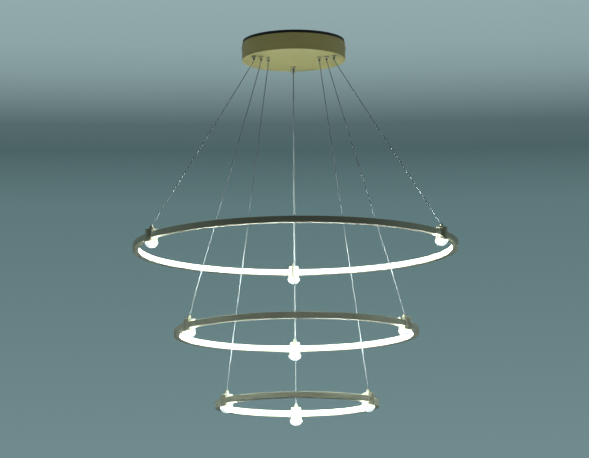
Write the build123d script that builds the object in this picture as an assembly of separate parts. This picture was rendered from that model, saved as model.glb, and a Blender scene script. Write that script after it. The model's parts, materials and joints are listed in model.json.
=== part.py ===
from build123d import *
import math
import os

# Three-tier ring chandelier. Three lit aluminium rings hang one below the other from a round
# ceiling canopy, each on three thin cables that run through push-button grippers in the canopy's
# floor. Millimetres, +Z up. The origin is the centre of the ceiling plate's upper face, which lies
# against the ceiling, so every piece is below z = 0.

# ------------------------------------------------------------------ driving dimensions
# Clearances
SLIDE_GAP = 0.08  # radial, a turned piece that slides in its bore
SEAT_GAP = 0.1  # per side, a piece that drops into a seat
SCREW_GAP = 0.05  # radial, a screw in its tapped hole
THROUGH_GAP = 0.25  # radial, a screw or barrel through a clearance hole
GLUE_GAP = 0.05  # a strip, board or spring end against its seat
OVERCUT = 1.0  # how far a cutting tool passes the face it cuts

# Rings: outer radius, and drop of the ring's mid-plane below the ceiling
LARGE_RADIUS = 400.0
MEDIUM_RADIUS = 300.0
SMALL_RADIUS = 200.0
LARGE_DROP = 519.0
MEDIUM_DROP = 731.0
SMALL_DROP = 908.0

# Ring profile, a channel that opens towards the ring's centre
PROFILE_HEIGHT = 15.0
PROFILE_DEPTH = 14.0
PROFILE_LIP = 1.5
PROFILE_BACK = 1.5
PROFILE_EDGE = 0.4  # break of the profile's outer edges
DIFFUSER_RECESS = 0.3
DIFFUSER_WALL = 1.4
DIFFUSER_LEG = 5.0
STRIP_HEIGHT = 10.0
STRIP_THICKNESS = 1.2
ARC_JOINT = 0.3  # gap between two channel arcs, hidden inside a clamp
PASSAGE_RADIUS = 2.0  # hole for a feed lead in the channel and in the clamp floor

# Clamps, one at each cable: blocks with round ends, longer across the ring than along it
CLAMP_LENGTH = 30.0
CLAMP_WIDTH = 26.0
CLAMP_FLOOR = 9.5
CAP_HEIGHT = 8.0
CLAMP_BEVEL = 0.5
CLAMP_SCREW_RADIUS = 1.5
CLAMP_SCREW_HEAD = 2.75
CLAMP_SCREW_HEAD_HEIGHT = 3.0
CLAMP_SCREW_SUNK = 0.4
CLAMP_SCREW_LENGTH = 13.0
CLAMP_SCREW_BOTTOM = 1.0
HEX_SOCKET_RADIUS = 1.3
HEX_SOCKET_DEPTH = 1.6
ANCHOR_RADIUS = 4.5
ANCHOR_HEIGHT = 8.5
ANCHOR_STEM_RADIUS = 3.0
ANCHOR_STEM_SHORT = 0.5  # the stem stops this far above the ring
FUNNEL_RADIUS = 3.9
FUNNEL_DEPTH = 3.0
CABLE_SEAT = 1.0  # the cable's end, below the funnel's throat

# Downlight under each clamp
SPOT_RECESS_RADIUS = 9.8
SPOT_RECESS_DEPTH = 5.5
SPOT_BOARD_THICKNESS = 1.6
SPOT_CHIP_SIDE = 9.0
SPOT_CHIP_HEIGHT = 1.0
LENS_RADIUS = 15.5
LENS_BAND = 2.0
LENS_CROWN = 11.0
LENS_WALL = 1.5
LENS_SPIGOT = 3.0

# Canopy
CANOPY_RADIUS = 128.0
CANOPY_HEIGHT = 41.0
CANOPY_WALL = 1.5
CANOPY_FLOOR = 2.0
CANOPY_EDGE = 0.8
CANOPY_GROOVE = 0.6  # depth and height of the shadow line above the floor's rim
CANOPY_GROOVE_RISE = 1.6  # from the canopy's underside to the groove's lower edge
SHADOW_GAP = 7.5  # black band between the ceiling and the canopy's upper edge
PLATE_THICKNESS = 2.0
PLATE_RIM = 1.5
PLATE_RIM_DEPTH = 28.0
PLATE_FIT = 0.3
CEILING_SLOT_SPACING = 90.0
CEILING_SLOT_LENGTH = 12.0
CEILING_SLOT_RADIUS = 2.5
CANOPY_SCREW_RADIUS = 2.0
CANOPY_SCREW_LENGTH = 8.0
CANOPY_SCREW_HEAD = 3.8
CANOPY_SCREW_HEAD_HEIGHT = 1.8
CANOPY_SCREW_DROP = 18.0
SCREW_BOSS_RADIUS = 5.0
SCREW_BOSS_DEPTH = 3.0

# Supply cable entry in the ceiling plate
ENTRY_X = -30.0
ENTRY_Y = 66.0
ENTRY_BORE = 6.0
ENTRY_SLEEVE = 8.0
ENTRY_FLANGE = 11.0
ENTRY_FLANGE_THICKNESS = 2.0
ENTRY_LENGTH = 12.0

# Cable grippers in the canopy floor
GRIP_MARGIN = 17.0  # from the canopy's side to the outermost gripper's axis
GRIP_PITCH = 20.0
GRIP_FLANGE_RADIUS = 5.5
GRIP_FLANGE_HEIGHT = 5.5
GRIP_BARREL_RADIUS = 4.0
GRIP_BARREL_HEIGHT = 12.0
GRIP_CHAMBER_RADIUS = 3.2
GRIP_STEP = 3.5  # height of the step that the plunger's collar rests on
GRIP_NUT_FLATS = 12.0
GRIP_NUT_HEIGHT = 4.0
GRIP_CAP_RADIUS = 4.8
GRIP_CAP_HEIGHT = 2.5
GRIP_CAP_SPIGOT = 2.0
PLUNGER_RADIUS = 2.35
PLUNGER_TIP = 4.0
PLUNGER_COLLAR_RADIUS = 3.0
PLUNGER_COLLAR_HEIGHT = 1.2
PLUNGER_NOSE_RADIUS = 1.9
PLUNGER_NOSE_HEIGHT = 5.0
PLUNGER_MOUTH = 0.6
SPRING_WIRE = 0.6
SPRING_RADIUS = 2.6
SPRING_TURNS = 5

# Suspension cables
CABLE_RADIUS = 1.0
CABLE_BEND = 10.0
CABLE_LEAD = CABLE_BEND / 2  # from a cable's end to its corner, room to turn by 50 degrees
LEAD_RADIUS = 1.0
LEAD_BEND = 6.0
MAINS_LEAD_RADIUS = 1.2

# Inside the canopy
HARNESS_DROP = 24.0
MAINS_DROP = 12.0
LANE_OFFSET = 8.0
LANE_RUN = 14.0
LANE_BEND = 12.0
HUB_RADIUS = 22.0
HUB_HEIGHT = 12.0
HUB_POST_RADIUS = 5.0
HUB_HOLE_DEPTH = 6.0
FIXING_RADIUS = 2.0
FIXING_HEAD = 3.8
FIXING_HEAD_HEIGHT = 2.2
FIXING_TIP = 0.3  # a fixing screw's tip stops this far below the ceiling
DRIVER_LENGTH = 100.0
DRIVER_WIDTH = 46.0
DRIVER_HEIGHT = 26.0
DRIVER_WALL = 1.8
DRIVER_Y = -75.0
DRIVER_COVER = 2.0
DRIVER_COVER_LIP = 1.5
DRIVER_EAR = 12.0
DRIVER_EAR_WIDTH = 20.0
DRIVER_EAR_THICKNESS = 3.0
BOARD_DROP = 19.0
BOARD_THICKNESS = 1.6
BOARD_MARGIN = 2.2
BOARD_POST_RADIUS = 2.5
BOARD_POST_X = 30.0
BOARD_POST_Y = 15.0
BOARD_ROW_MARGIN = 3.0
TRANSFORMER_LENGTH = 26.0
TRANSFORMER_WIDTH = 20.0
TRANSFORMER_HEIGHT = 13.0
CAPACITOR_RADIUS = 4.5
CAPACITOR_HEIGHT = 12.0
CAPACITOR_SPACING = 15.0
TERMINAL_DEPTH = 8.0
TERMINAL_INSET = 1.0
TERMINAL_RISE = 3.0  # terminals on the board reach this far above their leads
OUTPUT_HALF_SPACING = 4.0
INPUT_OFFSET = 9.0  # from the driver's middle to its first mains lead
INPUT_PITCH = 5.0
POLE_PITCH = 9.0
TERMINAL_CLEARANCE = 16.0  # from the driver's end to the middle pole
TERMINAL_Y = 30.0
TERMINAL_LENGTH = 36.0
TERMINAL_WIDTH = 16.0
TERMINAL_HEIGHT = 16.0
TERMINAL_HOLE_DEPTH = 5.0
EARTH_X = 60.0
EARTH_Y = 30.0
EARTH_STUD_RADIUS = 2.0
EARTH_STUD_LENGTH = 15.0
EARTH_NUT_FLATS = 7.0
EARTH_NUT_HEIGHT = 3.2
EARTH_WASHER_RADIUS = 5.0
EARTH_WASHER_HEIGHT = 1.5
EARTH_ROUTE_Y = 46.0

# Azimuths of the three cables of a ring. The front pair is spread a little past 120 degrees.
SPOKES = {"rear": 90.0, "left": 207.5, "right": 332.5}

# ------------------------------------------------------------------ levels that follow
CANOPY_TOP = -SHADOW_GAP
CANOPY_BOTTOM = CANOPY_TOP - CANOPY_HEIGHT
CANOPY_INNER_FLOOR = CANOPY_BOTTOM + CANOPY_FLOOR
PLATE_UNDERSIDE = -PLATE_THICKNESS
PLATE_RADIUS = CANOPY_RADIUS - CANOPY_WALL - PLATE_FIT
PLATE_INNER_RADIUS = PLATE_RADIUS - PLATE_RIM
GRIP_OUTER_CIRCLE = CANOPY_RADIUS - GRIP_MARGIN
GRIP_BOTTOM = CANOPY_BOTTOM - GRIP_FLANGE_HEIGHT
GRIP_TOP = CANOPY_BOTTOM + GRIP_BARREL_HEIGHT
GRIP_STEP_LEVEL = GRIP_BOTTOM + GRIP_STEP
CABLE_EXIT = GRIP_BOTTOM - PLUNGER_TIP
CABLE_BORE = CABLE_RADIUS + SEAT_GAP
COLLAR_TOP = GRIP_STEP_LEVEL + PLUNGER_COLLAR_HEIGHT
SPRING_SEAT = GRIP_TOP - GRIP_CAP_SPIGOT
DRIVER_BOTTOM = PLATE_UNDERSIDE - DRIVER_HEIGHT
TERMINAL_X = -DRIVER_LENGTH / 2 - TERMINAL_CLEARANCE
BOARD_TOP = -BOARD_DROP
HUB_TOP = HUB_HEIGHT / 2 - HARNESS_DROP
HUB_BOTTOM = HUB_TOP - HUB_HEIGHT
MAINS_LEVEL = -MAINS_DROP
HARNESS_LEVEL = -HARNESS_DROP
RISE = (Align.CENTER, Align.CENTER, Align.MIN)

# Rows where the mains leads enter the driver
INPUT_ROWS = (DRIVER_Y + INPUT_OFFSET, DRIVER_Y + INPUT_OFFSET + INPUT_PITCH)
# Screws that hold the electrics to the ceiling plate: x, y and the level of the seat
EAR_X = (DRIVER_LENGTH + DRIVER_EAR) / 2
EAR_SEAT = PLATE_UNDERSIDE - DRIVER_EAR_THICKNESS
FIXINGS = (
    (-EAR_X, DRIVER_Y, EAR_SEAT),
    (EAR_X, DRIVER_Y, EAR_SEAT),
    (TERMINAL_X, TERMINAL_Y, PLATE_UNDERSIDE - TERMINAL_HEIGHT),
    (0.0, 0.0, HUB_BOTTOM),
)


class Ring:
    """One lit ring: its size, its height, and where its cables pass the canopy floor."""

    def __init__(self, name, outer_radius, drop, grip_radius, lane):
        self.name = name
        self.outer = outer_radius
        self.inner = outer_radius - PROFILE_DEPTH
        self.clamp_circle = outer_radius - PROFILE_DEPTH / 2
        self.middle = -drop
        self.grip_circle = grip_radius
        self.lane = lane


RINGS = (
    Ring("large", LARGE_RADIUS, LARGE_DROP, GRIP_OUTER_CIRCLE, -LANE_OFFSET),
    Ring("medium", MEDIUM_RADIUS, MEDIUM_DROP, GRIP_OUTER_CIRCLE - GRIP_PITCH, LANE_OFFSET),
    Ring("small", SMALL_RADIUS, SMALL_DROP, GRIP_OUTER_CIRCLE - 2 * GRIP_PITCH, 0.0),
)

# Levels on a ring, measured from its mid-plane
RING_TOP = PROFILE_HEIGHT / 2
RING_BOTTOM = -PROFILE_HEIGHT / 2
CAP_TOP = RING_TOP + CAP_HEIGHT
ANCHOR_TOP = CAP_TOP + ANCHOR_HEIGHT
THROAT = ANCHOR_TOP - FUNNEL_DEPTH
CABLE_END = THROAT - CABLE_SEAT
CLAMP_BOTTOM = RING_BOTTOM - CLAMP_FLOOR
SPOT_SEAT = CLAMP_BOTTOM + SPOT_RECESS_DEPTH
# Clamp screws stand midway between the ring's flank and the clamp's end
CLAMP_SCREW_OFFSET = (PROFILE_DEPTH + CLAMP_LENGTH) / 4
CLAMP_SCREW_SEAT = CAP_TOP - CLAMP_SCREW_SUNK - CLAMP_SCREW_HEAD_HEIGHT


# ------------------------------------------------------------------ shapes used throughout
def rod(radius, low, high):
    """Upright solid cylinder about the Z axis, from one level to another."""
    return Pos(0, 0, low) * Cylinder(radius, high - low, align=RISE)


def sleeve(outer, inner, low, high):
    """Upright tube about the Z axis."""
    return rod(outer, low, high) - rod(inner, low - OVERCUT, high + OVERCUT)


def block(x_size, y_size, low, high):
    """Upright box about the Z axis."""
    return Pos(0, 0, low) * Box(x_size, y_size, high - low, align=RISE)


def cone(low_radius, high_radius, low, high):
    """Upright cone frustum about the Z axis."""
    return Pos(0, 0, low) * Cone(low_radius, high_radius, high - low, align=RISE)


def hexagon(flats, low, high):
    """Upright hexagonal prism, sized across its flats."""
    outline = RegularPolygon(flats / 2, 6, major_radius=False)
    return Pos(0, 0, low) * extrude(outline, high - low)


def turned(outline):
    """Solid of revolution about Z, from (radius, level) points."""
    face = Plane.XZ * make_face(Polyline(*outline, close=True))
    return revolve(face, Axis.Z)


def out_to(radius, azimuth):
    """Place whose X axis points outwards, that far from the Z axis."""
    return Rot(0, 0, azimuth) * Pos(radius, 0, 0)


def tube_along(points, radius, bends):
    """Round lead through the points, with a tangent arc at each corner."""
    path = FilletPolyline(*points, radius=bends)
    section = Plane(origin=path @ 0, z_dir=path % 0) * Circle(radius)
    return sweep(section, path)


def turn_at(before, corner, after):
    """Angle in degrees by which a route turns at a corner."""
    return (Vector(*corner) - Vector(*before)).get_angle(Vector(*after) - Vector(*corner))


def save(node, *shapes):
    """Write one node, as the separate solids that its shapes hold."""
    solids = [solid for shape in shapes for solid in shape.solids()]
    export_step(Compound(solids), os.path.join("parts", node + ".step"))


# ------------------------------------------------------------------ ceiling plate and canopy
def ceiling_plate():
    """Black pan that is screwed to the ceiling and carries the canopy on its rim."""
    plate = rod(PLATE_RADIUS, PLATE_UNDERSIDE, 0)
    plate += sleeve(PLATE_RADIUS, PLATE_INNER_RADIUS, -PLATE_RIM_DEPTH, PLATE_UNDERSIDE)
    boss = Rot(0, 90, 0) * rod(SCREW_BOSS_RADIUS, -SCREW_BOSS_DEPTH, PLATE_RIM / 2)
    tap = Rot(0, 90, 0) * rod(
        CANOPY_SCREW_RADIUS + SCREW_GAP, -SCREW_BOSS_DEPTH - OVERCUT, PLATE_RIM + OVERCUT
    )
    for azimuth in (0, 180):
        place = Rot(0, 0, azimuth) * Pos(PLATE_INNER_RADIUS, 0, -CANOPY_SCREW_DROP)
        plate += place * boss
        plate -= place * tap
    slot = extrude(SlotOverall(CEILING_SLOT_LENGTH, 2 * CEILING_SLOT_RADIUS), 2 * PLATE_THICKNESS)
    for side in (-1, 1):
        plate -= Pos(side * CEILING_SLOT_SPACING / 2, 0, -1.5 * PLATE_THICKNESS) * slot
    plate -= Pos(ENTRY_X, ENTRY_Y, 0) * rod(
        ENTRY_SLEEVE + SEAT_GAP, PLATE_UNDERSIDE - OVERCUT, OVERCUT
    )
    for x, y, _ in FIXINGS:
        tapped = rod(FIXING_RADIUS + SCREW_GAP, PLATE_UNDERSIDE - OVERCUT, OVERCUT)
        plate -= Pos(x, y, 0) * tapped
    plate -= Pos(EARTH_X, EARTH_Y, 0) * rod(
        EARTH_STUD_RADIUS + SCREW_GAP, PLATE_UNDERSIDE - OVERCUT, OVERCUT
    )
    return plate


def canopy_shell():
    """Satin drum with a flat floor, bored for the nine grippers and the two side screws."""
    drum = rod(CANOPY_RADIUS, CANOPY_BOTTOM, CANOPY_TOP)
    drum = fillet(drum.edges().group_by(Axis.Z)[0], CANOPY_EDGE)
    groove_bottom = CANOPY_BOTTOM + CANOPY_GROOVE_RISE
    groove_radius = CANOPY_RADIUS - CANOPY_GROOVE
    drum -= sleeve(
        CANOPY_RADIUS + OVERCUT, groove_radius, groove_bottom, groove_bottom + CANOPY_GROOVE
    )
    drum -= rod(CANOPY_RADIUS - CANOPY_WALL, CANOPY_INNER_FLOOR, CANOPY_TOP + OVERCUT)
    hole = rod(
        GRIP_BARREL_RADIUS + THROUGH_GAP, CANOPY_BOTTOM - OVERCUT, CANOPY_INNER_FLOOR + OVERCUT
    )
    for ring in RINGS:
        for azimuth in SPOKES.values():
            drum -= out_to(ring.grip_circle, azimuth) * hole
    side_hole = Rot(0, 90, 0) * rod(
        CANOPY_SCREW_RADIUS + THROUGH_GAP, -CANOPY_WALL - OVERCUT, OVERCUT
    )
    for azimuth in (0, 180):
        drum -= Rot(0, 0, azimuth) * Pos(CANOPY_RADIUS, 0, -CANOPY_SCREW_DROP) * side_hole
    return drum


def canopy_screws():
    """Two low-headed screws through the drum's side into the plate's rim."""
    screw = rod(CANOPY_SCREW_RADIUS, -CANOPY_SCREW_LENGTH, 0)
    head = rod(CANOPY_SCREW_HEAD, 0, CANOPY_SCREW_HEAD_HEIGHT)
    head = chamfer(head.edges().group_by(Axis.Z)[-1], CANOPY_SCREW_HEAD_HEIGHT / 3)
    head -= hexagon(2 * HEX_SOCKET_RADIUS, CANOPY_SCREW_HEAD_HEIGHT / 3, 2 * CANOPY_SCREW_HEAD_HEIGHT)
    screw += head
    return [
        Rot(0, 0, azimuth) * Pos(CANOPY_RADIUS, 0, -CANOPY_SCREW_DROP) * Rot(0, 90, 0) * screw
        for azimuth in (0, 180)
    ]


def cable_grommet():
    """Rubber bush that lines the supply cable's hole in the ceiling plate."""
    bush = sleeve(ENTRY_SLEEVE, ENTRY_BORE, -ENTRY_LENGTH, 0)
    flange_top = PLATE_UNDERSIDE
    bush += sleeve(ENTRY_FLANGE, ENTRY_BORE, flange_top - ENTRY_FLANGE_THICKNESS, flange_top)
    return Pos(ENTRY_X, ENTRY_Y, 0) * bush


# ------------------------------------------------------------------ electrics in the canopy
def fixing_screw(seat):
    """Screw from below: its head under the seat level, its tip just under the ceiling."""
    screw = rod(FIXING_RADIUS, seat, -FIXING_TIP)
    head = rod(FIXING_HEAD, seat - FIXING_HEAD_HEIGHT, seat)
    head -= hexagon(
        2 * HEX_SOCKET_RADIUS, seat - FIXING_HEAD_HEIGHT - OVERCUT, seat - FIXING_HEAD_HEIGHT / 2
    )
    return screw + head


def terminal_block():
    """Three-pole mains terminal, with a wire hole for each pole on both long sides."""
    bottom = PLATE_UNDERSIDE - TERMINAL_HEIGHT
    body = block(TERMINAL_LENGTH, TERMINAL_WIDTH, bottom, PLATE_UNDERSIDE)
    body = fillet(body.edges().filter_by(Axis.Z), 1.0)
    body -= rod(FIXING_RADIUS + THROUGH_GAP, bottom - OVERCUT, OVERCUT)
    depth = TERMINAL_HOLE_DEPTH
    hole = Rot(90, 0, 0) * rod(MAINS_LEAD_RADIUS + THROUGH_GAP, -depth, depth)
    for pole in (-1, 0, 1):
        for side in (-1, 1):
            body -= Pos(pole * POLE_PITCH, side * TERMINAL_WIDTH / 2, MAINS_LEVEL) * hole
    return Pos(TERMINAL_X, TERMINAL_Y, 0) * body


def output_hub():
    """Round junction block on a post, where the cable tails meet the driver's output."""
    hub = rod(HUB_RADIUS, HUB_BOTTOM, HUB_TOP) + rod(HUB_POST_RADIUS, HUB_TOP, PLATE_UNDERSIDE)
    hub -= rod(FIXING_RADIUS + THROUGH_GAP, HUB_BOTTOM - OVERCUT, OVERCUT)
    hole_end = HUB_RADIUS - HUB_HOLE_DEPTH
    hole = Rot(0, 90, 0) * rod(LEAD_RADIUS + THROUGH_GAP, hole_end, HUB_RADIUS + OVERCUT)
    for azimuth in SPOKES.values():
        for ring in RINGS:
            hub -= Rot(0, 0, azimuth) * Pos(0, ring.lane, HARNESS_LEVEL) * hole
    for side in (-1, 1):
        hub -= Rot(0, 0, 270) * Pos(0, side * OUTPUT_HALF_SPACING, HARNESS_LEVEL) * hole
    return hub


def earth_stud():
    """Earth stud in the ceiling plate, with its washer and nut."""
    nut_bottom = MAINS_LEVEL - EARTH_WASHER_HEIGHT / 2 - EARTH_NUT_HEIGHT
    washer_bottom = nut_bottom + EARTH_NUT_HEIGHT
    stud = rod(EARTH_STUD_RADIUS, -FIXING_TIP - EARTH_STUD_LENGTH - EARTH_NUT_HEIGHT, -FIXING_TIP)
    stud += rod(EARTH_WASHER_RADIUS, washer_bottom, washer_bottom + EARTH_WASHER_HEIGHT)
    stud += hexagon(EARTH_NUT_FLATS, nut_bottom, washer_bottom)
    return Pos(EARTH_X, EARTH_Y, 0) * stud


def driver_case():
    """Moulded tray of the LED driver, open below, with a fixing ear at each end."""
    case = block(DRIVER_LENGTH, DRIVER_WIDTH, DRIVER_BOTTOM, PLATE_UNDERSIDE)
    case = fillet(case.edges().filter_by(Axis.Z), DRIVER_WALL)
    ceiling = PLATE_UNDERSIDE - DRIVER_WALL
    inside_length = DRIVER_LENGTH - 2 * DRIVER_WALL
    inside_width = DRIVER_WIDTH - 2 * DRIVER_WALL
    case -= block(inside_length, inside_width, DRIVER_BOTTOM - OVERCUT, ceiling)
    ear = block(DRIVER_EAR, DRIVER_EAR_WIDTH, EAR_SEAT, PLATE_UNDERSIDE)
    ear -= rod(FIXING_RADIUS + THROUGH_GAP, EAR_SEAT - OVERCUT, 0)
    for side in (-1, 1):
        case += Pos(side * EAR_X, 0, 0) * ear
    for x in (-BOARD_POST_X, BOARD_POST_X):
        for y in (-BOARD_POST_Y, BOARD_POST_Y):
            case += Pos(x, y, 0) * rod(BOARD_POST_RADIUS, BOARD_TOP, ceiling)
    opening = MAINS_LEAD_RADIUS + THROUGH_GAP
    wall = 2 * DRIVER_WALL
    for y in INPUT_ROWS:
        hole = Rot(0, 90, 0) * rod(opening, -wall, wall)
        case -= Pos(-DRIVER_LENGTH / 2, y - DRIVER_Y, MAINS_LEVEL) * hole
    for side in (-1, 1):
        hole = Rot(90, 0, 0) * rod(opening, -wall, wall)
        case -= Pos(side * OUTPUT_HALF_SPACING, DRIVER_WIDTH / 2, MAINS_LEVEL) * hole
    return Pos(0, DRIVER_Y, 0) * case


def driver_cover():
    """Flat lid that closes the driver from below, with a lip inside the tray's walls."""
    lid = block(DRIVER_LENGTH, DRIVER_WIDTH, DRIVER_BOTTOM - DRIVER_COVER, DRIVER_BOTTOM)
    lid = fillet(lid.edges().filter_by(Axis.Z), DRIVER_WALL)
    lip_length = DRIVER_LENGTH - 2 * DRIVER_WALL - 2 * SEAT_GAP
    lip_width = DRIVER_WIDTH - 2 * DRIVER_WALL - 2 * SEAT_GAP
    lip = block(lip_length, lip_width, DRIVER_BOTTOM, DRIVER_BOTTOM + DRIVER_COVER_LIP)
    lip -= block(
        lip_length - 2 * DRIVER_WALL,
        lip_width - 2 * DRIVER_WALL,
        DRIVER_BOTTOM - OVERCUT,
        DRIVER_BOTTOM + 2 * DRIVER_COVER_LIP,
    )
    lid += lip
    return Pos(0, DRIVER_Y, 0) * lid


def driver_board():
    """Converter board under the posts, with its terminals, transformer and capacitors."""
    length = DRIVER_LENGTH - 2 * DRIVER_WALL - 2 * BOARD_MARGIN
    width = DRIVER_WIDTH - 2 * DRIVER_WALL - 2 * BOARD_MARGIN
    board = block(length, width, BOARD_TOP - BOARD_THICKNESS, BOARD_TOP)
    input_y = sum(INPUT_ROWS) / len(INPUT_ROWS) - DRIVER_Y
    board += Pos(-length / 2 + TERMINAL_DEPTH / 2 + TERMINAL_INSET, input_y, 0) * block(
        TERMINAL_DEPTH, 2 * INPUT_PITCH, BOARD_TOP, MAINS_LEVEL + TERMINAL_RISE
    )
    board += Pos(0, width / 2 - TERMINAL_DEPTH / 2 - TERMINAL_INSET, 0) * block(
        4 * OUTPUT_HALF_SPACING, TERMINAL_DEPTH, BOARD_TOP, MAINS_LEVEL + TERMINAL_RISE
    )
    row_y = -width / 2 + BOARD_ROW_MARGIN + TRANSFORMER_WIDTH / 2
    board += Pos(-TRANSFORMER_LENGTH / 3, row_y, 0) * block(
        TRANSFORMER_LENGTH, TRANSFORMER_WIDTH, BOARD_TOP, BOARD_TOP + TRANSFORMER_HEIGHT
    )
    for place in (1, 2):
        can = rod(CAPACITOR_RADIUS, BOARD_TOP, BOARD_TOP + CAPACITOR_HEIGHT)
        board += Pos(place * CAPACITOR_SPACING, row_y, 0) * can
    return Pos(0, DRIVER_Y, 0) * board


def canopy_wiring():
    """Mains, earth and output leads, and the tails of the nine cables up from the grippers."""
    leads = []
    terminal_front = TERMINAL_Y - TERMINAL_WIDTH / 2 + TERMINAL_HOLE_DEPTH
    terminal_back = TERMINAL_Y + TERMINAL_WIDTH / 2 - TERMINAL_HOLE_DEPTH
    board_half = DRIVER_LENGTH / 2 - DRIVER_WALL - BOARD_MARGIN
    for pole, row in zip((0, 1), INPUT_ROWS):
        x = TERMINAL_X + pole * POLE_PITCH
        route = [
            (x, terminal_front, MAINS_LEVEL),
            (x, row, MAINS_LEVEL),
            (-board_half + TERMINAL_INSET, row, MAINS_LEVEL),
        ]
        leads.append(tube_along(route, MAINS_LEAD_RADIUS, LEAD_BEND))
    x = TERMINAL_X - POLE_PITCH
    route = [
        (x, terminal_back, MAINS_LEVEL),
        (x, EARTH_ROUTE_Y, MAINS_LEVEL),
        (EARTH_X, EARTH_ROUTE_Y, MAINS_LEVEL),
        (EARTH_X, EARTH_Y + EARTH_WASHER_RADIUS + SEAT_GAP, MAINS_LEVEL),
    ]
    leads.append(tube_along(route, MAINS_LEAD_RADIUS, LEAD_BEND))
    output_y = DRIVER_Y + DRIVER_WIDTH / 2 - DRIVER_WALL - BOARD_MARGIN - TERMINAL_INSET
    hub_end = HUB_RADIUS - HUB_HOLE_DEPTH
    for side in (-1, 1):
        x = side * OUTPUT_HALF_SPACING
        route = [
            (x, output_y, MAINS_LEVEL),
            (x, output_y + LANE_RUN, MAINS_LEVEL),
            (x, output_y + 2 * LANE_RUN, HARNESS_LEVEL),
            (x, -hub_end, HARNESS_LEVEL),
        ]
        leads.append(tube_along(route, LEAD_RADIUS, LEAD_BEND))
    for ring in RINGS:
        for azimuth in SPOKES.values():
            leads.append(Rot(0, 0, azimuth) * cable_tail(ring))
    return leads


def cable_tail(ring):
    """Tail of a cable: up through its gripper, then inwards to the hub along its own lane."""
    route = [(ring.grip_circle, 0, CABLE_EXIT), (ring.grip_circle, 0, HARNESS_LEVEL)]
    bends = [LEAD_BEND]
    if ring.lane:
        route.append((ring.grip_circle - LANE_RUN, ring.lane, HARNESS_LEVEL))
        bends.append(LANE_BEND)
    route.append((HUB_RADIUS - HUB_HOLE_DEPTH, ring.lane, HARNESS_LEVEL))
    return tube_along(route, LEAD_RADIUS, bends)


# ------------------------------------------------------------------ cable grippers
def gripper_body():
    """Turned brass barrel with a flange below the canopy and a chamber for the spring."""
    body = rod(GRIP_FLANGE_RADIUS, GRIP_BOTTOM, CANOPY_BOTTOM)
    body = chamfer(body.edges().group_by(Axis.Z)[0], SEAT_GAP * 4)
    body += rod(GRIP_BARREL_RADIUS, CANOPY_BOTTOM, GRIP_TOP)
    body -= rod(PLUNGER_RADIUS + SLIDE_GAP, GRIP_BOTTOM - OVERCUT, GRIP_TOP)
    body -= rod(GRIP_CHAMBER_RADIUS, GRIP_STEP_LEVEL, GRIP_TOP + OVERCUT)
    return body


def gripper_nut():
    """Hexagon nut that holds the barrel to the canopy floor from inside."""
    top = CANOPY_INNER_FLOOR + GRIP_NUT_HEIGHT
    nut = hexagon(GRIP_NUT_FLATS, CANOPY_INNER_FLOOR, top)
    return nut - rod(GRIP_BARREL_RADIUS + SCREW_GAP, CANOPY_INNER_FLOOR - OVERCUT, top + OVERCUT)


def gripper_cap():
    """Cap that closes the spring chamber and lets the cable tail out at the top."""
    cap = rod(GRIP_CAP_RADIUS, GRIP_TOP, GRIP_TOP + GRIP_CAP_HEIGHT)
    cap += rod(GRIP_CHAMBER_RADIUS - SEAT_GAP, SPRING_SEAT, GRIP_TOP)
    return cap - rod(CABLE_BORE, SPRING_SEAT - OVERCUT, GRIP_TOP + GRIP_CAP_HEIGHT + OVERCUT)


def gripper_spring():
    """Coil spring that pushes the plunger down, between its collar and the cap."""
    low = COLLAR_TOP + SPRING_WIRE / 2 + GLUE_GAP
    high = SPRING_SEAT - SPRING_WIRE / 2 - GLUE_GAP
    rise = high - low
    coil = Pos(0, 0, low) * Helix(rise / SPRING_TURNS, rise, SPRING_RADIUS)
    section = Plane(origin=coil @ 0, z_dir=coil % 0) * Circle(SPRING_WIRE / 2)
    return sweep(section, coil, is_frenet=True)


def release_plunger():
    """Black push tip: pressed upwards, it lets the cable slide through the gripper."""
    nose_top = COLLAR_TOP + PLUNGER_NOSE_HEIGHT
    plunger = rod(PLUNGER_RADIUS, CABLE_EXIT, GRIP_STEP_LEVEL)
    plunger += rod(PLUNGER_COLLAR_RADIUS, GRIP_STEP_LEVEL, COLLAR_TOP)
    plunger += rod(PLUNGER_NOSE_RADIUS, COLLAR_TOP, nose_top)
    plunger -= rod(CABLE_BORE, CABLE_EXIT - OVERCUT, nose_top + OVERCUT)
    mouth = cone(CABLE_BORE + PLUNGER_MOUTH, CABLE_BORE, CABLE_EXIT, CABLE_EXIT + PLUNGER_MOUTH)
    return plunger - mouth


# ------------------------------------------------------------------ rings
def channel_arcs(ring):
    """Three arcs of the channel profile, which meet inside the clamps."""
    half = PROFILE_HEIGHT / 2
    back = ring.outer - PROFILE_BACK
    web = half - PROFILE_LIP
    edge = PROFILE_EDGE
    outline = [
        (ring.inner, half),
        (ring.outer - edge, half),
        (ring.outer, half - edge),
        (ring.outer, edge - half),
        (ring.outer - edge, -half),
        (ring.inner, -half),
        (ring.inner, -web),
        (back, -web),
        (back, web),
        (ring.inner, web),
    ]
    loop = turned(outline)
    outwards = (Align.MIN, Align.CENTER, Align.CENTER)
    joint = Box(ring.outer, ARC_JOINT, 2 * PROFILE_HEIGHT, align=outwards)
    passage = rod(PASSAGE_RADIUS, -PROFILE_HEIGHT, PROFILE_HEIGHT)
    for azimuth in SPOKES.values():
        loop -= Rot(0, 0, azimuth) * Pos(PROFILE_DEPTH, 0, 0) * joint
        loop -= out_to(ring.clamp_circle, azimuth) * passage
    return Pos(0, 0, ring.middle) * loop


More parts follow.
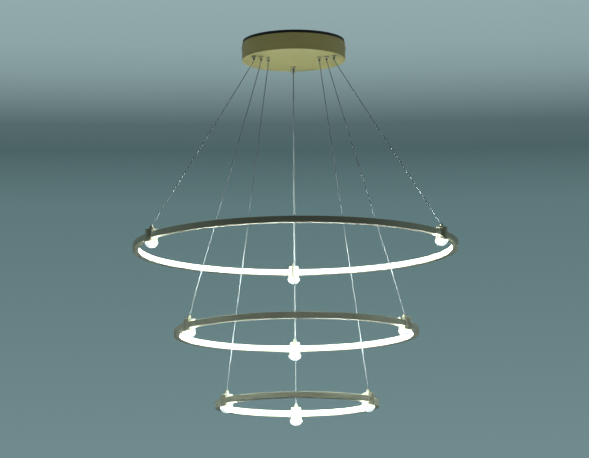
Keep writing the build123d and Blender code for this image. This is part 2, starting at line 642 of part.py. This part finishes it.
def diffuser(ring):
    """Opal snap-in band that closes the channel's mouth, with a leg along each lip."""
    face = ring.inner + DIFFUSER_RECESS
    half = PROFILE_HEIGHT / 2 - PROFILE_LIP - SEAT_GAP
    web = half - DIFFUSER_WALL
    back = face + DIFFUSER_WALL
    leg = face + DIFFUSER_LEG
    outline = [
        (face, half),
        (leg, half),
        (leg, web),
        (back, web),
        (back, -web),
        (leg, -web),
        (leg, -half),
        (face, -half),
    ]
    return Pos(0, 0, ring.middle) * turned(outline)


def led_strip(ring):
    """Light strip on the channel's back, with a feed lead down through each clamp."""
    outer = ring.outer - PROFILE_BACK - GLUE_GAP
    strip = sleeve(outer, outer - STRIP_THICKNESS, -STRIP_HEIGHT / 2, STRIP_HEIGHT / 2)
    pieces = [Pos(0, 0, ring.middle) * strip]
    reach = outer - STRIP_THICKNESS - GLUE_GAP - ring.clamp_circle
    lead = rod(LEAD_RADIUS, SPOT_SEAT, CABLE_END)
    lead += Rot(0, 90, 0) * rod(LEAD_RADIUS / 2, 0, reach)
    for azimuth in SPOKES.values():
        pieces.append(Pos(0, 0, ring.middle) * out_to(ring.clamp_circle, azimuth) * lead)
    return pieces


def clamp_block(low, high):
    """Upright block with round ends, its length along X, which points out of the ring."""
    return Pos(0, 0, low) * extrude(SlotOverall(CLAMP_LENGTH, CLAMP_WIDTH), high - low)


def at_clamps(ring, piece):
    """Copies of a piece at the ring's three clamps."""
    place = Pos(0, 0, ring.middle)
    return [place * out_to(ring.clamp_circle, azimuth) * piece for azimuth in SPOKES.values()]


def clamp_body(ring):
    """Block that holds the ring in a curved slot, with a recess for the downlight."""
    body = clamp_block(CLAMP_BOTTOM, RING_TOP)
    body = chamfer(body.edges().group_by(Axis.Z)[0], CLAMP_BEVEL)
    slot = sleeve(ring.outer + SEAT_GAP, ring.inner - SEAT_GAP, RING_BOTTOM, RING_TOP + OVERCUT)
    body -= Pos(-ring.clamp_circle, 0, 0) * slot
    body -= rod(SPOT_RECESS_RADIUS, CLAMP_BOTTOM - OVERCUT, SPOT_SEAT)
    body -= rod(PASSAGE_RADIUS, SPOT_SEAT - OVERCUT, RING_TOP)
    tapped_floor = CLAMP_SCREW_SEAT - CLAMP_SCREW_LENGTH - CLAMP_SCREW_BOTTOM
    for side in (-1, 1):
        tapped = rod(CLAMP_SCREW_RADIUS + SCREW_GAP, tapped_floor, RING_TOP + OVERCUT)
        body -= Pos(side * CLAMP_SCREW_OFFSET, 0, 0) * tapped
    return body


def clamp_cap():
    """Lid that closes the clamp over the ring and carries the cable anchor."""
    cap = clamp_block(RING_TOP, CAP_TOP)
    cap = chamfer(cap.edges().group_by(Axis.Z)[-1], CLAMP_BEVEL)
    cap -= rod(ANCHOR_STEM_RADIUS + SCREW_GAP, RING_TOP - OVERCUT, CAP_TOP + OVERCUT)
    for side in (-1, 1):
        place = Pos(side * CLAMP_SCREW_OFFSET, 0, 0)
        cap -= place * rod(CLAMP_SCREW_RADIUS + THROUGH_GAP, RING_TOP - OVERCUT, CAP_TOP)
        cap -= place * rod(CLAMP_SCREW_HEAD + THROUGH_GAP, CLAMP_SCREW_SEAT, CAP_TOP + OVERCUT)
    return cap


def cable_anchor():
    """Turned nipple on the cap, with a funnel in which the cable leans over."""
    stem_bottom = RING_TOP + ANCHOR_STEM_SHORT
    anchor = rod(ANCHOR_RADIUS, CAP_TOP, ANCHOR_TOP)
    anchor += rod(ANCHOR_STEM_RADIUS, stem_bottom, CAP_TOP)
    anchor -= rod(CABLE_BORE, stem_bottom - OVERCUT, ANCHOR_TOP)
    return anchor - cone(CABLE_BORE, FUNNEL_RADIUS, THROAT, ANCHOR_TOP)


def cap_screw():
    """Socket-head screw from the cap's top into the clamp body."""
    head_top = CLAMP_SCREW_SEAT + CLAMP_SCREW_HEAD_HEIGHT
    screw = rod(CLAMP_SCREW_RADIUS, CLAMP_SCREW_SEAT - CLAMP_SCREW_LENGTH, CLAMP_SCREW_SEAT)
    screw += rod(CLAMP_SCREW_HEAD, CLAMP_SCREW_SEAT, head_top)
    return screw - hexagon(2 * HEX_SOCKET_RADIUS, head_top - HEX_SOCKET_DEPTH, head_top + OVERCUT)


def spot_board():
    """Round lamp board in the clamp's recess, with one chip that shines down."""
    bottom = SPOT_SEAT - SPOT_BOARD_THICKNESS
    board = rod(SPOT_RECESS_RADIUS - THROUGH_GAP, bottom, SPOT_SEAT)
    return board + block(SPOT_CHIP_SIDE, SPOT_CHIP_SIDE, bottom - SPOT_CHIP_HEIGHT, bottom)


def spot_lens():
    """Hollow opal dome with a spigot that plugs into the clamp's recess."""
    band_bottom = CLAMP_BOTTOM - LENS_BAND
    sphere_radius = (LENS_RADIUS**2 + LENS_CROWN**2) / (2 * LENS_CROWN)
    centre = band_bottom - LENS_CROWN + sphere_radius
    spigot_radius = SPOT_RECESS_RADIUS - SEAT_GAP
    below_band = rod(2 * LENS_RADIUS, centre - 2 * sphere_radius, band_bottom)
    lens = (Pos(0, 0, centre) * Sphere(sphere_radius)) & below_band
    lens += rod(LENS_RADIUS, band_bottom, CLAMP_BOTTOM)
    lens += rod(spigot_radius, CLAMP_BOTTOM, CLAMP_BOTTOM + LENS_SPIGOT)
    hollow = (Pos(0, 0, centre) * Sphere(sphere_radius - LENS_WALL)) & below_band
    hollow += rod(spigot_radius - LENS_WALL, band_bottom - OVERCUT, CLAMP_BOTTOM + 2 * LENS_SPIGOT)
    return lens - hollow


# ------------------------------------------------------------------ suspension cables
def cable_route(ring):
    """Corner points of a free cable, from its gripper's tip down to its clamp's anchor."""
    end = ring.middle + CABLE_END
    return [
        (ring.grip_circle, 0, CABLE_EXIT),
        (ring.grip_circle, 0, CABLE_EXIT - CABLE_LEAD),
        (ring.clamp_circle, 0, end + CABLE_LEAD),
        (ring.clamp_circle, 0, end),
    ]


def suspension_cable(ring):
    """One free cable: straight, with a bend at each end where it turns upright."""
    route = cable_route(ring)
    cable = tube_along(route, CABLE_RADIUS, CABLE_BEND)
    turn = turn_at(*route[:3])
    length = cable.volume / (math.pi * CABLE_RADIUS**2)
    print(f"{ring.name} cable: bends of radius {CABLE_BEND} turning {turn:.1f}, length {length:.1f}")
    return cable


def main():
    os.makedirs("parts", exist_ok=True)
    save("ceiling_plate", ceiling_plate())
    save("canopy_shell", canopy_shell())
    save("canopy_screws", *canopy_screws())
    save("cable_grommet", cable_grommet())
    save("terminal_blocks", terminal_block(), output_hub())
    save("earth_stud", earth_stud())
    save("driver_case", driver_case())
    save("driver_cover", driver_cover())
    save("driver_board", driver_board())
    save("fixing_screws", *[Pos(x, y, 0) * fixing_screw(seat) for x, y, seat in FIXINGS])
    save("canopy_wiring", *canopy_wiring())

    grips = [out_to(ring.grip_circle, azimuth) for ring in RINGS for azimuth in SPOKES.values()]
    for node, piece in (
        ("gripper_bodies", gripper_body()),
        ("gripper_nuts", gripper_nut()),
        ("gripper_caps", gripper_cap()),
        ("gripper_springs", gripper_spring()),
    ):
        save(node, *[place * piece for place in grips])

    plunger = release_plunger()
    for ring in RINGS:
        cable = suspension_cable(ring)
        for side, azimuth in SPOKES.items():
            save(f"{ring.name}_{side}_cable", Rot(0, 0, azimuth) * cable)
            save(f"{ring.name}_{side}_release", out_to(ring.grip_circle, azimuth) * plunger)
        save(f"{ring.name}_channel", channel_arcs(ring))
        save(f"{ring.name}_diffuser", diffuser(ring))
        save(f"{ring.name}_led_strip", *led_strip(ring))
        save(f"{ring.name}_clamp_bodies", *at_clamps(ring, clamp_body(ring)))
        save(f"{ring.name}_clamp_caps", *at_clamps(ring, clamp_cap()))
        save(f"{ring.name}_cable_anchors", *at_clamps(ring, cable_anchor()))
        screws = [Pos(side * CLAMP_SCREW_OFFSET, 0, 0) * cap_screw() for side in (-1, 1)]
        save(f"{ring.name}_cap_screws", *[copy for one in screws for copy in at_clamps(ring, one)])
        save(f"{ring.name}_spot_boards", *at_clamps(ring, spot_board()))
        save(f"{ring.name}_spot_lenses", *at_clamps(ring, spot_lens()))


main()
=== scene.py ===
import json
import math

import bpy
from mathutils import Matrix, Vector


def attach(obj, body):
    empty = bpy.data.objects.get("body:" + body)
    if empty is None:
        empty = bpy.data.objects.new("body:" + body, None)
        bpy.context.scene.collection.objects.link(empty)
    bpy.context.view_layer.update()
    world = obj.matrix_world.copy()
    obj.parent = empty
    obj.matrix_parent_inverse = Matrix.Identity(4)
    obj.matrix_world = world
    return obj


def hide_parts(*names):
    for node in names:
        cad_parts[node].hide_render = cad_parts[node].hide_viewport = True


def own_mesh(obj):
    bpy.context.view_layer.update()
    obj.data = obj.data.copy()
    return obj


# The looks of a three-tier ring chandelier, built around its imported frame. Metres, +Z up, with the
# mounting face at z = 0 and the viewer on the -Y side.

TIERS = ("large", "medium", "small")
SPOKES = {"rear": 90.0, "left": 207.5, "right": 332.5}  # azimuths of a ring's three cables

# ------------------------------------------------------------------ camera
IMAGE_WIDTH = 589
FOCAL_PIXELS = 3301.0
SENSOR_WIDTH = 36.0  # mm
CAMERA_DISTANCE = 8.0
CAMERA_AZIMUTH = -0.0135  # radians, above zero to the left of straight ahead
CAMERA_HEIGHT = -1.870
CAMERA_SHIFT = -0.0021
CAMERA_PITCH = 0.1728  # radians, looking up
CAMERA_ROLL = -0.0097  # radians
CAMERA_REACH = 200.0

# ------------------------------------------------------------------ cables, as in the CAD source
CABLE_RADIUS = 0.001
CABLE_EXIT = -0.058
CABLE_LEAD = 0.005
CABLE_END_ABOVE_RING = 0.020
GRIP_CIRCLE = {"large": 0.111, "medium": 0.091, "small": 0.071}
CLAMP_CIRCLE = {"large": 0.393, "medium": 0.293, "small": 0.193}
RING_DROP = {"large": 0.519, "medium": 0.731, "small": 0.908}
CABLE_SIDES = 12
CABLE_STEP = 0.004  # length of one facet along the cable
SPLINE_ORDER = 3
SPLINE_FACETS = 48  # facets between two control points, before the line is evened out

# ------------------------------------------------------------------ gripper springs, as in the CAD source
SPRING_WIRE_RADIUS = 0.0003
SPRING_RADIUS = 0.0026
SPRING_BOTTOM = -0.04895
SPRING_TOP = -0.03885
SPRING_TURNS = 5
SPRING_STEPS = 24  # facets in a turn
SPRING_SIDES = 8

# ------------------------------------------------------------------ colours and surfaces
CANOPY_COLOUR = (0.222, 0.198, 0.070)
METAL_COLOUR = (0.390, 0.385, 0.290)
OPAL_COLOUR = (0.93, 0.94, 0.93)
CABLE_DARK = (0.10, 0.12, 0.12)
CABLE_LIGHT = (0.17, 0.20, 0.20)
FLOOR_COLOUR = (0.21, 0.255, 0.26)
FLOOR_ROUGHNESS = 0.9
GRAIN_DEPTH = 0.0002
FINE_GRAIN_DEPTH = 0.0001

# ------------------------------------------------------------------ light
LED_COLOUR = (0.90, 1.0, 0.985)
LIGHT_GIVEN = 90.0  # strength of the opal parts' light for every ray but the camera's
LIGHT_SHOWN = 0.7  # strength that the camera sees
PLAIN_LIGHT = (0.62, 0.66, 0.66)  # the surroundings' light on matt surfaces
# Surroundings by height: the sine of the angle above the horizon, and the colour there
BACKDROP = (
    (-1.0, (0.20, 0.27, 0.28)),
    (0.103, (0.165, 0.260, 0.270)),
    (0.181, (0.112, 0.190, 0.197)),
    (0.200, (0.060, 0.105, 0.110)),
    (0.222, (0.260, 0.365, 0.375)),
    (0.260, (0.330, 0.450, 0.460)),
    (1.0, (0.35, 0.46, 0.47)),
)
# The surroundings' dark side, behind the viewer: its middle, how near to it (as a cosine) the
# darkness starts and is full, and the light that is left there
DARK_SIDE = (0.0, -0.96, 0.28)
DARK_FROM = 0.0
DARK_FULL = 0.80
DARK_LEFT = 0.08
LAMP_PLACE = (0.0, 3.5, 3.0)
LAMP_TARGET = (0.0, 0.0, -0.45)
LAMP_SIZE = 3.0
LAMP_POWER = 30.0  # W
LAMP_COLOUR = (0.9, 1.0, 1.0)
FLOOR_LEVEL = -2.6
FLOOR_SIZE = 60.0


# ------------------------------------------------------------------ node helpers
class Tree:
    """A node tree under construction, with short calls for its nodes and links."""

    def __init__(self, tree):
        self.nodes = tree.nodes
        self.links = tree.links

    def node(self, kind, **values):
        made = self.nodes.new(kind)
        for key, value in values.items():
            setattr(made, key, value)
        return made

    def join(self, source, target):
        self.links.new(source, target)


class Shader(Tree):
    """A node material under construction."""

    def __init__(self, name):
        self.material = bpy.data.materials.new(name)
        self.material.use_nodes = True
        super().__init__(self.material.node_tree)
        self.surface = self.nodes["Principled BSDF"]

    def value(self, **values):
        """Sets constants on the shader's own sockets."""
        for key, value in values.items():
            self.surface.inputs[key.replace("_", " ")].default_value = value

    def position(self):
        """Position on the object, in metres."""
        return self.node("ShaderNodeTexCoord").outputs["Object"]

    def noise(self, vector, scale, detail=3.0):
        made = self.node("ShaderNodeTexNoise")
        made.inputs["Scale"].default_value = scale
        made.inputs["Detail"].default_value = detail
        self.join(vector, made.inputs["Vector"])
        return made.outputs["Fac"]

    def turned_lines(self, vector, fineness):
        """Noise drawn out round the Z axis, as a lathe or an extrusion die leaves it."""
        parts = self.node("ShaderNodeSeparateXYZ")
        self.join(vector, parts.inputs["Vector"])
        radius = self.node("ShaderNodeVectorMath", operation="LENGTH")
        flat = self.node("ShaderNodeCombineXYZ")
        self.join(parts.outputs["X"], flat.inputs["X"])
        self.join(parts.outputs["Y"], flat.inputs["Y"])
        self.join(flat.outputs["Vector"], radius.inputs[0])
        lines = self.node("ShaderNodeCombineXYZ")
        self.join(radius.outputs["Value"], lines.inputs["X"])
        self.join(parts.outputs["Z"], lines.inputs["Y"])
        return self.noise(lines.outputs["Vector"], fineness, detail=2.0)

    def between(self, factor, low, high):
        """Colour between two others, by a factor."""
        made = self.node("ShaderNodeMix", data_type="RGBA")
        made.inputs["A"].default_value = (*low, 1.0)
        made.inputs["B"].default_value = (*high, 1.0)
        self.join(factor, made.inputs["Factor"])
        return made.outputs["Result"]

    def tint(self, factor, colour, change):
        """Base colour that drifts, by a factor, from a little darker to a little lighter."""
        low, high = (tuple(part * (1 + side * change) for part in colour) for side in (-1, 1))
        self.join(self.between(factor, low, high), self.surface.inputs["Base Color"])

    def gloss(self, factor, low, high):
        """Roughness between two values, by a factor that runs from 0 to 1."""
        made = self.node("ShaderNodeMapRange")
        made.inputs["To Min"].default_value = low
        made.inputs["To Max"].default_value = high
        self.join(factor, made.inputs["Value"])
        self.join(made.outputs["Result"], self.surface.inputs["Roughness"])

    def bump(self, height, strength, distance):
        made = self.node("ShaderNodeBump")
        made.inputs["Strength"].default_value = strength
        made.inputs["Distance"].default_value = distance
        self.join(height, made.inputs["Height"])
        self.join(made.outputs["Normal"], self.surface.inputs["Normal"])


# ------------------------------------------------------------------ materials
def satin_metal(name, colour, roughness, fineness):
    """Anodised or bare metal with a fine grain and slightly uneven gloss."""
    shader = Shader(name)
    where = shader.position()
    shader.tint(shader.noise(where, scale=35.0), colour, change=0.05)
    grain = shader.turned_lines(where, fineness)
    shader.gloss(grain, roughness - 0.05, roughness + 0.06)
    shader.value(Metallic=1.0)
    shader.bump(grain, strength=0.12, distance=GRAIN_DEPTH)
    return shader.material


def painted_canopy(name, colour):
    """Satin metallic paint with a faint orange-peel surface."""
    shader = Shader(name)
    where = shader.position()
    shader.tint(shader.noise(where, scale=14.0), colour, change=0.04)
    flake = shader.noise(where, scale=2600.0, detail=1.0)
    shader.gloss(flake, 0.46, 0.60)
    shader.value(Metallic=0.2, Specular_IOR_Level=0.3)
    peel = shader.noise(where, scale=700.0, detail=2.0)
    shader.bump(peel, strength=0.08, distance=GRAIN_DEPTH)
    return shader.material


def plain_surface(name, colour, roughness, grain=900.0):
    """Moulded plastic, rubber or paint, with a fine grain."""
    shader = Shader(name)
    where = shader.position()
    shader.tint(shader.noise(where, scale=60.0), colour, change=0.06)
    fine = shader.noise(where, scale=grain)
    shader.gloss(fine, roughness - 0.04, roughness + 0.05)
    shader.value(Metallic=0.0)
    shader.bump(fine, strength=0.15, distance=GRAIN_DEPTH)
    return shader.material


def lit_opal(name):
    """Opal plastic lit from inside. The camera sees it near white, and all other rays get its full light."""
    shader = Shader(name)
    where = shader.position()
    shader.tint(shader.noise(where, scale=45.0, detail=1.0), OPAL_COLOUR, change=0.02)
    seen = shader.node("ShaderNodeLightPath").outputs["Is Camera Ray"]
    given = tuple(LIGHT_GIVEN * part for part in LED_COLOUR)
    shown = tuple(LIGHT_SHOWN * part for part in LED_COLOUR)
    shader.join(shader.between(seen, given, shown), shader.surface.inputs["Emission Color"])
    shader.value(Roughness=0.45, Emission_Strength=1.0)
    shader.bump(shader.noise(where, scale=1800.0), strength=0.05, distance=FINE_GRAIN_DEPTH)
    return shader.material


def sleeved_cable(name):
    """Steel cable seen through a clear sleeve."""
    shader = Shader(name)
    where = shader.position()
    fine = shader.noise(where, scale=1500.0)
    colours = shader.between(fine, CABLE_DARK, CABLE_LIGHT)
    shader.join(colours, shader.surface.inputs["Base Color"])
    shader.value(Metallic=0.6, Roughness=0.40, Coat_Weight=0.3, Coat_Roughness=0.2)
    shader.bump(fine, strength=0.1, distance=FINE_GRAIN_DEPTH)
    return shader.material


def make_materials():
    """Materials by the record's slot names."""
    return {
        "champagne_paint": painted_canopy("champagne_paint", CANOPY_COLOUR),
        "champagne_metal": satin_metal(
            "champagne_metal", METAL_COLOUR, roughness=0.60, fineness=5000.0
        ),
        "black_steel": plain_surface(
            "black_steel", (0.004, 0.004, 0.005), roughness=0.7, grain=1200.0
        ),
        "steel": satin_metal("steel", (0.50, 0.50, 0.50), roughness=0.3, fineness=6000.0),
        "brass": satin_metal("brass", (0.62, 0.47, 0.24), roughness=0.28, fineness=6000.0),
        "rubber": plain_surface("rubber", (0.02, 0.02, 0.02), roughness=0.75),
        "white_plastic": plain_surface("white_plastic", (0.75, 0.75, 0.73), roughness=0.5),
        "board_green": plain_surface("board_green", (0.03, 0.18, 0.07), roughness=0.4),
        "board_white": plain_surface("board_white", (0.78, 0.78, 0.75), roughness=0.4),
        "wire_sleeve": sleeved_cable("wire_sleeve"),
        "cable_steel": sleeved_cable("cable_steel"),
        "opal_plastic": lit_opal("opal_plastic"),
        "black_plastic": plain_surface("black_plastic", (0.012, 0.012, 0.013), roughness=0.45),
    }


def dress(node, material):
    """Gives a CAD node one material in place of its own."""
    node.data.materials.clear()
    node.data.materials.append(material)


# ------------------------------------------------------------------ tubes along a line
def spline_points(points):
    """Points along the smooth line that has the given points as its control points."""
    curve = bpy.data.curves.new("route", "CURVE")
    curve.dimensions = "3D"
    spline = curve.splines.new("NURBS")
    spline.points.add(len(points) - 1)
    for control, place in zip(spline.points, points):
        control.co = (*place, 1.0)
    spline.order_u = SPLINE_ORDER
    spline.use_endpoint_u = True
    spline.resolution_u = SPLINE_FACETS
    route = bpy.data.objects.new("route", curve)
    line = bpy.data.meshes.new_from_object(route)
    found = [vertex.co.copy() for vertex in line.vertices]
    bpy.data.meshes.remove(line)
    bpy.data.objects.remove(route)
    bpy.data.curves.remove(curve)
    return found


def even_points(line, step):
    """The same line as points about one step apart, with both ends kept."""
    spans = [(b - a).length for a, b in zip(line, line[1:])]
    total = sum(spans)
    count = max(2, round(total / step))
    found = [line[0].copy()]
    index, passed = 0, 0.0
    for k in range(1, count):
        target = total * k / count
        while passed + spans[index] < target:
            passed += spans[index]
            index += 1
        share = (target - passed) / spans[index]
        found.append(line[index].lerp(line[index + 1], share))
    found.append(line[-1].copy())
    return found


def tube(name, line, radius, sides):
    """Round tube along a line of points, closed at both ends."""
    vertices, faces = [], []
    across = Vector((0.0, 0.0, 1.0)).cross(line[1] - line[0])
    starts_upright = across.length < 1e-9
    if starts_upright:
        across = Vector((1.0, 0.0, 0.0))
    for k, place in enumerate(line):
        ahead = line[min(k + 1, len(line) - 1)] - line[max(k - 1, 0)]
        ahead.normalize()
        across = (across - ahead * across.dot(ahead)).normalized()
        up = ahead.cross(across)
        for side in range(sides):
            angle = 2 * math.pi * side / sides
            vertices.append(place + radius * (math.cos(angle) * across + math.sin(angle) * up))
    for k in range(len(line) - 1):
        here = k * sides
        there = here + sides
        for side in range(sides):
            beside = (side + 1) % sides
            faces.append((here + side, here + beside, there + beside, there + side))
    last = (len(line) - 1) * sides
    faces.append(tuple(reversed(range(sides))))
    faces.append(tuple(range(last, last + sides)))
    mesh = bpy.data.meshes.new(name)
    mesh.from_pydata(vertices, [], faces)
    for face in mesh.polygons:
        is_wall = len(face.vertices) == 4
        face.use_smooth = is_wall
    made = bpy.data.objects.new(name, mesh)
    bpy.context.scene.collection.objects.link(made)
    return made


def at_spoke(radius, azimuth, height):
    """Point at a radius and azimuth about the light's axis."""
    angle = math.radians(azimuth)
    return Vector((radius * math.cos(angle), radius * math.sin(angle), height))


# ------------------------------------------------------------------ pieces made here
def suspension_cable(tier, side, material):
    """One cable from its gripper to its clamp."""
    azimuth = SPOKES[side]
    end = CABLE_END_ABOVE_RING - RING_DROP[tier]
    exit_point = at_spoke(GRIP_CIRCLE[tier], azimuth, CABLE_EXIT)
    route = [
        exit_point,
        at_spoke(GRIP_CIRCLE[tier], azimuth, CABLE_EXIT - CABLE_LEAD),
        at_spoke(CLAMP_CIRCLE[tier], azimuth, end + CABLE_LEAD),
        at_spoke(CLAMP_CIRCLE[tier], azimuth, end),
    ]
    line = even_points(spline_points(route), CABLE_STEP)
    cable = tube(f"{tier}_{side}_suspension", line, CABLE_RADIUS, CABLE_SIDES)
    cable.data.materials.append(material)
    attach(cable, "canopy")
    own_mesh(cable)
    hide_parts(f"{tier}_{side}_cable")


def gripper_spring(tier, side, material):
    """Coil spring over a plunger's nose."""
    line = []
    for k in range(SPRING_TURNS * SPRING_STEPS + 1):
        share = k / (SPRING_TURNS * SPRING_STEPS)
        angle = 2 * math.pi * SPRING_TURNS * share
        height = SPRING_BOTTOM + share * (SPRING_TOP - SPRING_BOTTOM)
        middle = at_spoke(GRIP_CIRCLE[tier], SPOKES[side], height)
        line.append(middle + SPRING_RADIUS * Vector((math.cos(angle), math.sin(angle), 0.0)))
    spring = tube(f"{tier}_{side}_spring", line, SPRING_WIRE_RADIUS, SPRING_SIDES)
    spring.data.materials.append(material)
    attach(spring, "canopy")
    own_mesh(spring)
    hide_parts("gripper_springs")


# ------------------------------------------------------------------ camera and floor
def make_camera():
    """The camera at the photograph's viewing angle."""
    heading = Vector((-math.sin(CAMERA_AZIMUTH), math.cos(CAMERA_AZIMUTH), 0.0))
    right = Vector((math.cos(CAMERA_AZIMUTH), math.sin(CAMERA_AZIMUTH), 0.0))
    forward = heading * math.cos(CAMERA_PITCH) + Vector((0, 0, math.sin(CAMERA_PITCH)))
    up = right.cross(forward)
    rolled_right = right * math.cos(CAMERA_ROLL) + up * math.sin(CAMERA_ROLL)
    rolled_up = up * math.cos(CAMERA_ROLL) - right * math.sin(CAMERA_ROLL)
    place = right * CAMERA_SHIFT - heading * CAMERA_DISTANCE + Vector((0, 0, CAMERA_HEIGHT))
    data = bpy.data.cameras.new("camera")
    data.sensor_width = SENSOR_WIDTH
    data.lens = FOCAL_PIXELS * SENSOR_WIDTH / IMAGE_WIDTH
    data.clip_end = CAMERA_REACH
    camera = bpy.data.objects.new("camera", data)
    turn = Matrix((rolled_right, rolled_up, -forward)).transposed()
    camera.matrix_world = Matrix.Translation(place) @ turn.to_4x4()
    bpy.context.scene.collection.objects.link(camera)
    bpy.context.scene.camera = camera


def make_floor():
    """Plain floor in a middle tone, clear when it is seen from below."""
    half = FLOOR_SIZE / 2
    mesh = bpy.data.meshes.new("floor")
    corners = [(-half, -half), (half, -half), (half, half), (-half, half)]
    mesh.from_pydata([(x, y, FLOOR_LEVEL) for x, y in corners], [], [(0, 1, 2, 3)])
    floor = bpy.data.objects.new("floor", mesh)
    bpy.context.scene.collection.objects.link(floor)
    shader = Shader("floor")
    shader.value(Base_Color=(*FLOOR_COLOUR, 1.0), Roughness=FLOOR_ROUGHNESS)
    clear = shader.node("ShaderNodeBsdfTransparent")
    mix = shader.node("ShaderNodeMixShader")
    behind = shader.node("ShaderNodeNewGeometry")
    shader.join(behind.outputs["Backfacing"], mix.inputs["Fac"])
    shader.join(shader.surface.outputs["BSDF"], mix.inputs[1])
    shader.join(clear.outputs["BSDF"], mix.inputs[2])
    shader.join(mix.outputs["Shader"], shader.nodes["Material Output"].inputs["Surface"])
    mesh.materials.append(shader.material)


# ------------------------------------------------------------------ surroundings and lamp
def backdrop_colour(tree, direction):
    """Colour of the surroundings by height."""
    parts = tree.node("ShaderNodeSeparateXYZ")
    tree.join(direction, parts.inputs["Vector"])
    height = tree.node("ShaderNodeMapRange")
    height.inputs["From Min"].default_value = -1.0
    tree.join(parts.outputs["Z"], height.inputs["Value"])
    ramp = tree.node("ShaderNodeValToRGB")
    stops = ramp.color_ramp.elements
    # a new ramp already has its first and last stop
    for rise, _ in BACKDROP[1:-1]:
        stops.new((rise + 1) / 2)
    for stop, (_, colour) in zip(stops, BACKDROP):
        stop.color = (*colour, 1.0)
    tree.join(height.outputs["Result"], ramp.inputs["Fac"])
    return ramp.outputs["Color"]


def light_left(tree, direction):
    """Share of the surroundings' light that is left, which falls towards their dark side."""
    near = tree.node("ShaderNodeVectorMath", operation="DOT_PRODUCT")
    near.inputs[1].default_value = DARK_SIDE
    tree.join(direction, near.inputs[0])
    left = tree.node("ShaderNodeMapRange", interpolation_type="SMOOTHSTEP")
    left.inputs["From Min"].default_value = DARK_FROM
    left.inputs["From Max"].default_value = DARK_FULL
    left.inputs["To Min"].default_value = 1.0
    left.inputs["To Max"].default_value = DARK_LEFT
    tree.join(near.outputs["Value"], left.inputs["Value"])
    return left.outputs["Result"]


def rays_that_see(tree):
    """1 for the rays that see the surroundings' own colour, and 0 for all others."""
    path = tree.node("ShaderNodeLightPath")
    found = path.outputs["Is Camera Ray"]
    for kind in ("Is Glossy Ray", "Is Transmission Ray"):
        larger = tree.node("ShaderNodeMath", operation="MAXIMUM")
        tree.join(found, larger.inputs[0])
        tree.join(path.outputs[kind], larger.inputs[1])
        found = larger.outputs["Value"]
    return found


def make_world():
    """Teal surroundings that the camera and reflections see, with plain soft light from them."""
    world = bpy.data.worlds.new("surroundings")
    bpy.context.scene.world = world
    world.use_nodes = True
    tree = Tree(world.node_tree)
    direction = tree.node("ShaderNodeTexCoord").outputs["Generated"]
    dimmed = tree.node("ShaderNodeVectorMath", operation="SCALE")
    tree.join(backdrop_colour(tree, direction), dimmed.inputs[0])
    tree.join(light_left(tree, direction), dimmed.inputs["Scale"])
    mix = tree.node("ShaderNodeMix", data_type="RGBA")
    mix.inputs["A"].default_value = (*PLAIN_LIGHT, 1.0)
    tree.join(dimmed.outputs["Vector"], mix.inputs["B"])
    tree.join(rays_that_see(tree), mix.inputs["Factor"])
    background = tree.nodes["Background"]
    tree.join(mix.outputs["Result"], background.inputs["Color"])
    background.inputs["Strength"].default_value = 1.0


def make_lamp():
    """One large square soft light, high behind the object."""
    data = bpy.data.lights.new("high_light", "AREA")
    data.shape = "SQUARE"
    data.size = LAMP_SIZE
    data.energy = LAMP_POWER
    data.color = LAMP_COLOUR
    lamp = bpy.data.objects.new("high_light", data)
    lamp.location = LAMP_PLACE
    aim = Vector(LAMP_TARGET) - Vector(LAMP_PLACE)
    lamp.rotation_mode = "QUATERNION"
    lamp.rotation_quaternion = aim.to_track_quat("-Z", "Y")
    bpy.context.scene.collection.objects.link(lamp)


# ------------------------------------------------------------------ the whole scene
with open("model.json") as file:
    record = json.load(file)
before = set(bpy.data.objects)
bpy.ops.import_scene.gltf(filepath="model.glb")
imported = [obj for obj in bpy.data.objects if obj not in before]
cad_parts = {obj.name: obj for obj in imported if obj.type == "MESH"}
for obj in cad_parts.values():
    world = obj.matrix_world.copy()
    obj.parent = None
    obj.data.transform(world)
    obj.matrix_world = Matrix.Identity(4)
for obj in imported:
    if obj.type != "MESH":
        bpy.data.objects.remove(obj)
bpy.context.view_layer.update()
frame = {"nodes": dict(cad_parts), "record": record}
slots = {part["node"]: part["material_slot"] for part in frame["record"]["subparts"]}
materials = make_materials()
for name, node in frame["nodes"].items():
    dress(node, materials[slots[name]])

make_camera()
for tier in TIERS:
    for side in SPOKES:
        suspension_cable(tier, side, materials["cable_steel"])
        gripper_spring(tier, side, materials["steel"])

make_floor()
make_world()
make_lamp()
bpy.context.scene.view_settings.view_transform = "Standard"
